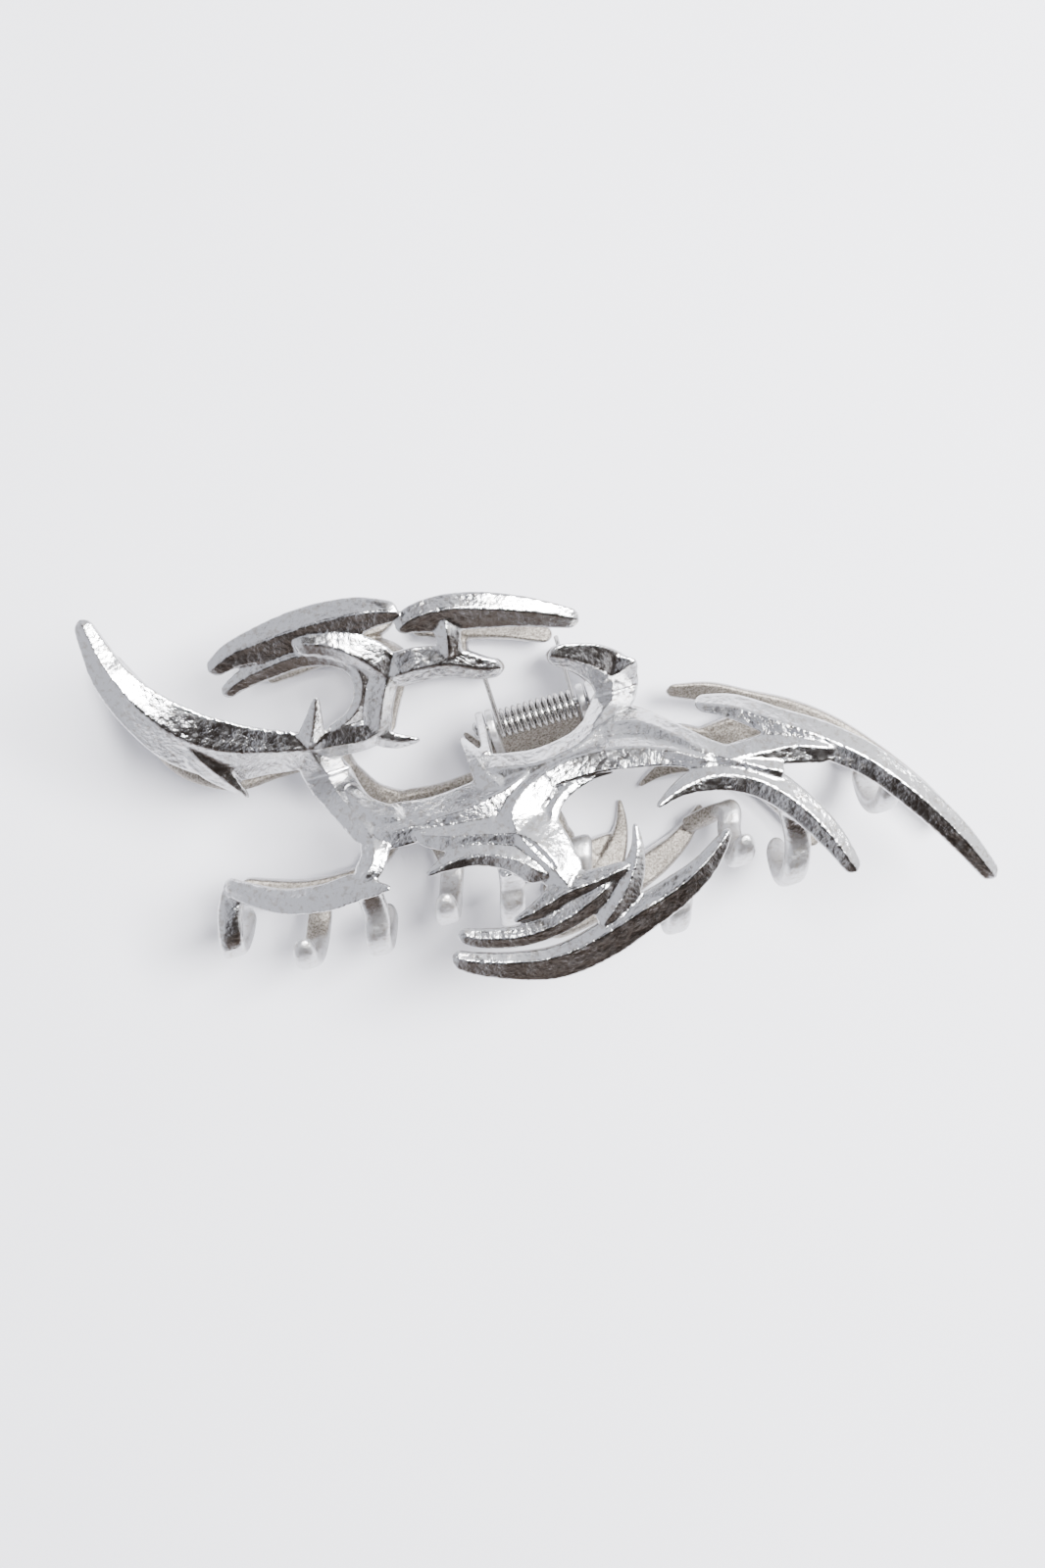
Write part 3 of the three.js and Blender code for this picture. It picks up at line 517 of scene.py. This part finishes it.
def mesh_object(name, vertices, faces):
    """A new object in the scene, with outward normals."""
    mesh = bpy.data.meshes.new(name)
    mesh.from_pydata([tuple(v) for v in vertices], [], faces)
    work = bmesh.new()
    work.from_mesh(mesh)
    bmesh.ops.recalc_face_normals(work, faces=work.faces)
    work.to_mesh(mesh)
    work.free()
    made = bpy.data.objects.new(name, mesh)
    bpy.context.scene.collection.objects.link(made)
    return made


def fused(made):
    """Replaces the object's overlapping shells by one skin."""
    melt = made.modifiers.new("melt", "REMESH")
    melt.mode = "VOXEL"
    melt.voxel_size = VOXEL
    skin = bpy.data.meshes.new_from_object(made.evaluated_get(bpy.context.evaluated_depsgraph_get()))
    made.modifiers.clear()
    made.data = skin
    return made


def smoothed(made, rounds=SMOOTH_ROUNDS):
    """Evens out the skin without shrinking it."""
    mesh = made.data
    places = np.empty(len(mesh.vertices) * 3)
    mesh.vertices.foreach_get("co", places)
    places = places.reshape(-1, 3)
    edges = np.empty(len(mesh.edges) * 2, int)
    mesh.edges.foreach_get("vertices", edges)
    one, other = edges.reshape(-1, 2).T
    links = np.bincount(edges, minlength=len(places))[:, None]
    for strength in (PULL_IN, PUSH_OUT) * rounds:
        total = np.empty_like(places)
        for axis in range(3):
            total[:, axis] = np.bincount(one, places[other, axis], len(places))
            total[:, axis] += np.bincount(other, places[one, axis], len(places))
        places += strength * (total / links - places)
    mesh.vertices.foreach_set("co", places.ravel())
    mesh.update()
    mesh.shade_smooth()
    return made


def casting(name, blades, teeth, side, ear_at):
    """One whole jaw as a single skin."""
    shells = [closed_shell(blade_rings(blades[part], side, DROPS.get(part, 0.0))) for part in blades]
    shells += [closed_shell(tooth_rings(tooth, side)) for tooth in teeth]
    shells += [ear_shell(ear_at, hand, side) for hand in (-1, 1)]
    vertices = []
    faces = []
    for shell_vertices, shell_faces in shells:
        start = sum(len(v) for v in vertices)
        vertices.append(shell_vertices)
        faces += [tuple(start + i for i in face) for face in shell_faces]
    return smoothed(fused(mesh_object(name, np.concatenate(vertices), faces)))


front_casting = casting("front_casting", front_blades, FRONT_TEETH, FRONT, FRONT_EAR)
rear_casting = casting("rear_casting", rear_blades, REAR_TEETH, REAR, REAR_EAR)
print("front casting", len(front_casting.data.polygons), "faces; rear", len(rear_casting.data.polygons))

# %% [markdown]
# ## Polished, satin and sandy skin
#
# The maker polishes and plates only what a wheel can reach. The inner faces keep the sandy skin of the
# mould, and the teeth, far below the ridges, come out satin. That can't be told from a place alone, so
# each point of the mesh stores how much it faces the middle plane and how deep it lies under the domed
# sheet, and the material reads those values.

# %% Mark the skin
SANDY_FROM = 0.1
SANDY_FULL = 0.45
SANDY_DEPTH = 7.0
SATIN_FROM = 2.8
SATIN_FULL = 4.4


def store(mesh, name, values):
    """Keeps one number for each point of the mesh, for the material to read."""
    mesh.attributes.new(name, "FLOAT", "POINT").data.foreach_set("value", values.astype(np.float32))


def mark_skin(made, side):
    """Stores how sandy each point is, and how satin, and returns the mean of both."""
    mesh = made.data
    count = len(mesh.vertices)
    places = np.empty(count * 3)
    mesh.vertices.foreach_get("co", places)
    pattern = (places.reshape(-1, 3) - hinge) / MM
    normals = np.empty(count * 3)
    mesh.vertex_normals.foreach_get("vector", normals)
    inward = -side * normals.reshape(-1, 3)[:, 2]
    under = sheet_depth(pattern[:, 0], pattern[:, 1]) - side * pattern[:, 2]
    facing = np.clip((inward - SANDY_FROM) / (SANDY_FULL - SANDY_FROM), 0, 1)
    sandy = facing * np.clip(SANDY_DEPTH - under, 0, 1)
    satin = np.clip((under - SATIN_FROM) / (SATIN_FULL - SATIN_FROM), 0, 1)
    store(mesh, "sandy", sandy)
    store(mesh, "satin", satin)
    return round(float(sandy.mean()), 2), round(float(satin.mean()), 2)


print("sandy and satin shares:", mark_skin(front_casting, FRONT), mark_skin(rear_casting, REAR))

# %% [markdown]
# ## Spring
#
# The spring is one wire: a leg that bears on a bar of the front casting, a little over twelve turns
# round the pin, and a leg that bears on the rear casting. A screw modifier could wind the coil, but the
# legs have to leave it along a tangent, so the whole path is written as points and a round section is
# carried along it.

# %% Wind the wire
WIRE_RADIUS = 0.33
COIL_RADIUS = 1.75
WIRE_SIDES = 14
TURN_STEPS = 48
WHOLE_TURNS = 12
FRONT_LEG_END = (7.8, 8.3)
REAR_LEG_END = (9.5, 9.9)
FRONT_LEG_SPLAY = 0.1
REAR_LEG_SPLAY = 0.3
LEG_STEPS = 12


def tangent_angle(end):
    """Where a straight leg to this v and w leaves the coil."""
    return math.atan2(end[1], end[0]) + math.acos(COIL_RADIUS / math.hypot(*end))


front_leaves = tangent_angle(FRONT_LEG_END)
rear_leaves = -tangent_angle(REAR_LEG_END)
while rear_leaves < front_leaves:
    rear_leaves += 2 * math.pi
rear_leaves += WHOLE_TURNS * 2 * math.pi
coil_angles = np.linspace(front_leaves, rear_leaves, TURN_STEPS * (WHOLE_TURNS + 1))
coil_u = np.linspace(-RING_CENTRE, RING_CENTRE, len(coil_angles))
coil_path = np.stack([coil_u, COIL_RADIUS * np.cos(coil_angles), COIL_RADIUS * np.sin(coil_angles)], axis=1)
front_tip = (-RING_CENTRE - FRONT_LEG_SPLAY, *FRONT_LEG_END)
rear_tip = (RING_CENTRE + REAR_LEG_SPLAY, REAR_LEG_END[0], -REAR_LEG_END[1])
front_leg = np.linspace(front_tip, coil_path[0], LEG_STEPS)[:-1]
rear_leg = np.linspace(coil_path[-1], rear_tip, LEG_STEPS)[1:]
wire_path = np.vstack([front_leg, coil_path, rear_leg])
wire_length = np.linalg.norm(np.diff(wire_path, axis=0), axis=1).sum()
turns = (rear_leaves - front_leaves) / (2 * math.pi)
print("the wire is", round(wire_length, 1), "mm long in", round(turns, 2), "turns")

# %% [markdown]
# A round section is carried along that path. Taking a fixed direction across would twist the section
# where the wire turns, so each ring keeps as near as it can to the one before.

# %% The wire as a mesh
CUT_END = 0.12
CUT_NARROW = 0.7


def swept_wire(path, radius):
    """A round section carried along the path without twisting, with slightly rounded cut ends."""
    heading = np.gradient(path, axis=0)
    heading /= np.linalg.norm(heading, axis=1, keepdims=True)
    travelled = np.concatenate([[0], np.cumsum(np.linalg.norm(np.diff(path, axis=0), axis=1))])
    side_way = np.cross(heading[0], (0, 1, 0))
    angles = np.arange(WIRE_SIDES) / WIRE_SIDES * 2 * math.pi
    rings = []
    for place, along, gone in zip(path, heading, travelled):
        side_way = side_way - along * np.dot(side_way, along)
        side_way /= np.linalg.norm(side_way)
        other_way = np.cross(along, side_way)
        section = np.outer(np.cos(angles), side_way) + np.outer(np.sin(angles), other_way)
        rings.append(place + section * radius)
    first = path[0] - heading[0] * CUT_END + (rings[0] - path[0]) * CUT_NARROW
    last = path[-1] + heading[-1] * CUT_END + (rings[-1] - path[-1]) * CUT_NARROW
    rings = np.array([first, *rings, last])
    return closed_shell(in_model(rings[..., 0], rings[..., 1], rings[..., 2]))


spring = mesh_object("spring", *swept_wire(wire_path, WIRE_RADIUS))
spring.data.shade_smooth()
print("spring:", len(spring.data.polygons), "faces")

# %% [markdown]
# ## Hinge pin
#
# The pin is a plain wire pin whose ends are hammered over into low domes, so that it can't slide out. A
# profile turned round the axis makes it, because every section across the pin is a circle.

# %% Turn the pin
HEAD_RADIUS = 1.15
HEAD_LENGTH = 0.7
HEAD_EDGE = 0.15
HEAD_ROUND = 0.05
HEAD_ROUND_UP = 0.03
TIP_RADIUS = 0.02
SHARP_FROM = math.radians(50)
PIN_HALF = FRONT_EAR + EAR_THICK + EAR_GAP
PIN_SIDES = 48
DOME_STEPS = 7


def pin_profile():
    """Distance along the pin and radius there, from one end to the other."""
    dome = []
    for i in range(DOME_STEPS + 1):
        angle = math.pi / 2 * i / DOME_STEPS
        along = PIN_HALF + HEAD_LENGTH * (HEAD_EDGE + (1 - HEAD_EDGE) * math.cos(angle))
        dome.append((along, TIP_RADIUS + (HEAD_RADIUS - TIP_RADIUS) * math.sin(angle)))
    head = dome + [(PIN_HALF + HEAD_ROUND_UP, HEAD_RADIUS), (PIN_HALF, HEAD_RADIUS - HEAD_ROUND),
                   (PIN_HALF, PIN_RADIUS)]
    return [(-along, radius) for along, radius in head] + list(reversed(head))


profile = np.array(pin_profile())
spin = np.arange(PIN_SIDES) / PIN_SIDES * 2 * math.pi
pin_rings = in_model(profile[:, :1], profile[:, 1:] * np.cos(spin), profile[:, 1:] * np.sin(spin))
pin = mesh_object("pin", *closed_shell(pin_rings))
pin.data.shade_smooth()
pin.data.set_sharp_from_angle(angle=SHARP_FROM)
print("pin:", round(2 * (PIN_HALF + HEAD_LENGTH), 1), "mm long")

# %% [markdown]
# ## Nodes that the materials share
#
# Small helpers keep each material readable: noise is asked for by the size of its blobs, and a bump by
# its depth in millimetres. Raw node calls would hide those sizes.

# %% Material helpers
def new_material(name):
    """A material with an empty principled shader, its node tree and that shader."""
    material = bpy.data.materials.new(name)
    material.use_nodes = True
    tree = material.node_tree
    shader = tree.nodes["Principled BSDF"]
    return material, tree, shader


def add_node(tree, kind, **settings):
    """A node with its settings and the values of its sockets."""
    node = tree.nodes.new(kind)
    for key, value in settings.items():
        if key in node.inputs:
            node.inputs[key].default_value = value
        else:
            setattr(node, key, value)
    return node


def noise(tree, where, size_mm, detail=2.0, roughness=0.5):
    """Noise whose blobs are about size_mm across."""
    made = add_node(tree, "ShaderNodeTexNoise", Scale=1 / (size_mm * MM), Detail=detail, Roughness=roughness)
    tree.links.new(where, made.inputs["Vector"])
    return made.outputs["Fac"]


def remap(tree, value, low, high, to_low=0.0, to_high=1.0):
    """Stretches a value from one range to another, clamped."""
    made = tree.nodes.new("ShaderNodeMapRange")
    for index, number in enumerate((low, high, to_low, to_high), 1):
        made.inputs[index].default_value = number
    tree.links.new(value, made.inputs[0])
    return made.outputs[0]


def mixed(tree, share, first, second, kind="FLOAT"):
    """first where share is 0 and second where it is 1."""
    made = add_node(tree, "ShaderNodeMix", data_type=kind)
    offset = 2 if kind == "FLOAT" else 6
    for index, item in ((0, share), (offset, first), (offset + 1, second)):
        if isinstance(item, bpy.types.NodeSocket):
            tree.links.new(item, made.inputs[index])
        else:
            made.inputs[index].default_value = item
    return made.outputs[0 if kind == "FLOAT" else 2]


def bumped(tree, shader, heights):
    """Stacks bumps, each a height value and the depth in millimetres that it stands for."""
    normal = None
    for height, depth_mm in heights:
        bump = add_node(tree, "ShaderNodeBump", Strength=1.0, Distance=depth_mm * MM)
        tree.links.new(height, bump.inputs["Height"])
        if normal is not None:
            tree.links.new(normal, bump.inputs["Normal"])
        normal = bump.outputs["Normal"]
    tree.links.new(normal, shader.inputs["Normal"])


print("noise with blobs of 1 mm has scale", round(1 / MM))

# %% [markdown]
# ## Polished plate over sandy casting
#
# The plating is nickel on a zinc casting. It mirrors what is round it, but the metal under it was never
# flat: it has a slow ripple and a hammered grain about half a millimetre across, and the glitter of the
# dark facets comes from those. Noise in the bump makes both. The sandy faces get a coarse grain and no
# gloss, through the stored value. One material does both, because the two skins run into each other
# without an edge.

# %% Plated casting
POLISHED = (0.60, 0.60, 0.61, 1)
WORN = (0.47, 0.45, 0.43, 1)
SANDY = (0.42, 0.39, 0.35, 1)
SANDY_PIT = (0.16, 0.14, 0.12, 1)

plated, tree, shader = new_material("plated_casting")
where = tree.nodes.new("ShaderNodeTexCoord").outputs["Object"]
sandy = add_node(tree, "ShaderNodeAttribute", attribute_name="sandy").outputs["Fac"]
satin = add_node(tree, "ShaderNodeAttribute", attribute_name="satin").outputs["Fac"]
ripple = noise(tree, where, 2.4, 2.0)
hammered = noise(tree, where, 0.6, 4.0, 0.6)
sand = noise(tree, where, 0.3, 4.0, 0.7)
patchy = remap(tree, noise(tree, where, 4.0, 2.0), 0.35, 0.6, 0.35, 1.0)
polish = remap(tree, noise(tree, where, 1.2, 4.0), 0.3, 0.7, 0.10, 0.24)
worn = remap(tree, noise(tree, where, 0.8, 5.0, 0.65), 0.52, 0.62)
plate_colour = mixed(tree, worn, POLISHED, WORN, "RGBA")
shader.inputs["Metallic"].default_value = 1.0
gloss = mixed(tree, satin, polish, 0.42)
tree.links.new(mixed(tree, sandy, gloss, 0.5), shader.inputs["Roughness"])
sand_colour = mixed(tree, remap(tree, sand, 0.4, 0.6), SANDY, SANDY_PIT, "RGBA")
tree.links.new(mixed(tree, sandy, plate_colour, sand_colour, "RGBA"), shader.inputs["Base Color"])
grain = add_node(tree, "ShaderNodeMath", operation="MULTIPLY")
tree.links.new(hammered, grain.inputs[0])
tree.links.new(patchy, grain.inputs[1])
skin = mixed(tree, sandy, grain.outputs[0], sand)
RIPPLE_DEPTH = 0.14
SKIN_DEPTH = 0.10
bumped(tree, shader, [(ripple, RIPPLE_DEPTH), (skin, SKIN_DEPTH)])
print("plated_casting has", len(tree.nodes), "nodes")

# %% [markdown]
# Spring wire is drawn through a die, so its marks run along the wire and it is a little darker than the
# plate. At this size a slight change in gloss along the wire says enough.

# %% Wire and pin steel
wire_steel, tree, shader = new_material("spring_wire")
where = tree.nodes.new("ShaderNodeTexCoord").outputs["Object"]
shader.inputs["Metallic"].default_value = 1.0
shader.inputs["Base Color"].default_value = (0.40, 0.39, 0.38, 1)
tree.links.new(remap(tree, noise(tree, where, 0.8, 3.0), 0.3, 0.7, 0.16, 0.3), shader.inputs["Roughness"])
bumped(tree, shader, [(noise(tree, where, 0.25, 2.0), 0.008)])

pin_steel, tree, shader = new_material("pin_steel")
where = tree.nodes.new("ShaderNodeTexCoord").outputs["Object"]
shader.inputs["Metallic"].default_value = 1.0
shader.inputs["Base Color"].default_value = (0.50, 0.50, 0.50, 1)
tree.links.new(remap(tree, noise(tree, where, 0.6, 3.0), 0.3, 0.7, 0.14, 0.28), shader.inputs["Roughness"])
bumped(tree, shader, [(noise(tree, where, 0.5, 2.0), 0.02)])
print("materials:", [m.name for m in (plated, wire_steel, pin_steel)])

# %% [markdown]
# ## Which piece moves with which body
#
# The rear casting and the pin stay still, and the front casting turns round the pin.

# %% Bodies and slots
looks = ((front_casting, plated), (rear_casting, plated), (spring, wire_steel), (pin, pin_steel))
for made, material in looks:
    made.data.materials.clear()
    made.data.materials.append(material)
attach(front_casting, "front_half")
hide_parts("front_jaw")
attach(rear_casting, "rear_half")
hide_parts("rear_jaw")
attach(pin, "rear_half")
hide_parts("hinge_pin")
spring_right = tuple(in_model(RING_CENTRE, 0, 0))
spring_left = tuple(in_model(-RING_CENTRE, 0, 0))
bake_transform(spring)
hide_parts("spring_coil", "spring_front_leg", "spring_rear_leg")
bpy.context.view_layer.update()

# %% [markdown]
# ## Table, light and camera
#
# Polished metal shows its surroundings more than itself. The table is pale and lit by one large soft
# lamp at the right, and the room round it is dimmer than the table. Two dark places overhead,
# like somebody leaning over the table, turn the facets that look their way nearly black, and that
# contrast is what makes the shapes readable. More lamps would leave the metal flat and grey.

# %% Table
TABLE = 1.5
corners = [(-TABLE, -TABLE, 0), (TABLE, -TABLE, 0), (TABLE, TABLE, 0), (-TABLE, TABLE, 0)]
table = mesh_object("table", corners, [(0, 1, 2, 3)])
paper, tree, shader = new_material("table_paper")
where = tree.nodes.new("ShaderNodeTexCoord").outputs["Object"]
shade = remap(tree, noise(tree, where, 60.0, 2.0), 0.3, 0.7)
PAPER = (0.82, 0.82, 0.87, 1)
PAPER_LIGHT = (0.85, 0.85, 0.90, 1)
tree.links.new(mixed(tree, shade, PAPER, PAPER_LIGHT, "RGBA"), shader.inputs["Base Color"])
shader.inputs["Roughness"].default_value = 0.7
table.data.materials.append(paper)
print("the table is", 2 * TABLE, "m wide")

# %% [markdown]
# The room is painted in the world's background, as soft round patches mixed one over another. Each patch
# says which way it lies and where it fades.

# %% World
world = bpy.data.worlds.new("tent")
bpy.context.scene.world = world
world.use_nodes = True
tree = world.node_tree
direction = tree.nodes.new("ShaderNodeTexCoord").outputs["Generated"]


def patch(towards, widest, narrowest, seen):
    """1 near a direction and 0 away from it, between two angles in degrees."""
    unit = Vector(towards).normalized()
    dot = add_node(tree, "ShaderNodeVectorMath", operation="DOT_PRODUCT")
    tree.links.new(seen, dot.inputs[0])
    dot.inputs[1].default_value = unit
    faded = math.cos(math.radians(widest))
    full = math.cos(math.radians(narrowest))
    return remap(tree, dot.outputs["Value"], faded, full)


ROOM = (1.10, 1.12, 1.22, 1)
RIGHT_WALL = (2.1, 2.1, 2.15, 1)
OVERHEAD = (0.62, 0.64, 0.72, 1)
LOW_FRONT = (0.22, 0.18, 0.16, 1)
DARK = (0.04, 0.03, 0.025, 1)
colour = mixed(tree, patch((1, 0.1, 0.2), 80, 25, direction), ROOM, RIGHT_WALL, "RGBA")
colour = mixed(tree, patch((0, 0, 1), 28, 12, direction), colour, OVERHEAD, "RGBA")
colour = mixed(tree, patch((0.1, -0.95, 0.35), 48, 26, direction), colour, LOW_FRONT, "RGBA")
colour = mixed(tree, patch((0.12, -0.62, 0.78), 34, 22, direction), colour, DARK, "RGBA")
colour = mixed(tree, patch((-0.06, 0.36, 0.93), 18, 11, direction), colour, DARK, "RGBA")
tree.links.new(colour, tree.nodes["Background"].inputs["Color"])
tree.nodes["Background"].inputs["Strength"].default_value = 1.0
print("the room's background has", len(tree.nodes), "nodes")

# %% [markdown]
# The lamp is a softbox to the right, nearly overhead. It is large, so that shadows on the table stay soft.

# %% Lamps
def softbox(name, place, width, length, watts):
    """A rectangular lamp that looks at the clip."""
    lamp = bpy.data.lights.new(name, "AREA")
    lamp.shape = "RECTANGLE"
    lamp.size = width
    lamp.size_y = length
    lamp.energy = watts
    holder = bpy.data.objects.new(name, lamp)
    bpy.context.scene.collection.objects.link(holder)
    holder.location = Vector(hinge) + Vector(place)
    holder.rotation_euler = (-Vector(place)).to_track_quat("-Z", "Y").to_euler()


softbox("key", (0.34, 0.06, 0.68), 0.26, 0.40, 27.0)

# %% [markdown]
# The camera looks straight down from close by, turned a little, so the pin runs up to the right.

# %% Camera
CAMERA_HEIGHT = 210
CAMERA_ASIDE = 0.37
CAMERA_UP = 8.68
CAMERA_TURN = math.radians(-16)
LENS = 34.74
FRAME_SHIFT = -0.084

camera = bpy.data.objects.new("camera", bpy.data.cameras.new("camera"))
bpy.context.scene.collection.objects.link(camera)
camera.location = Vector(in_model(CAMERA_ASIDE, CAMERA_UP, CAMERA_HEIGHT))
camera.rotation_euler = (0, 0, CAMERA_TURN)
camera.data.lens = LENS
camera.data.shift_y = FRAME_SHIFT
camera.data.clip_start = 0.01
bpy.context.scene.camera = camera
print("camera at", [round(x, 3) for x in camera.location])
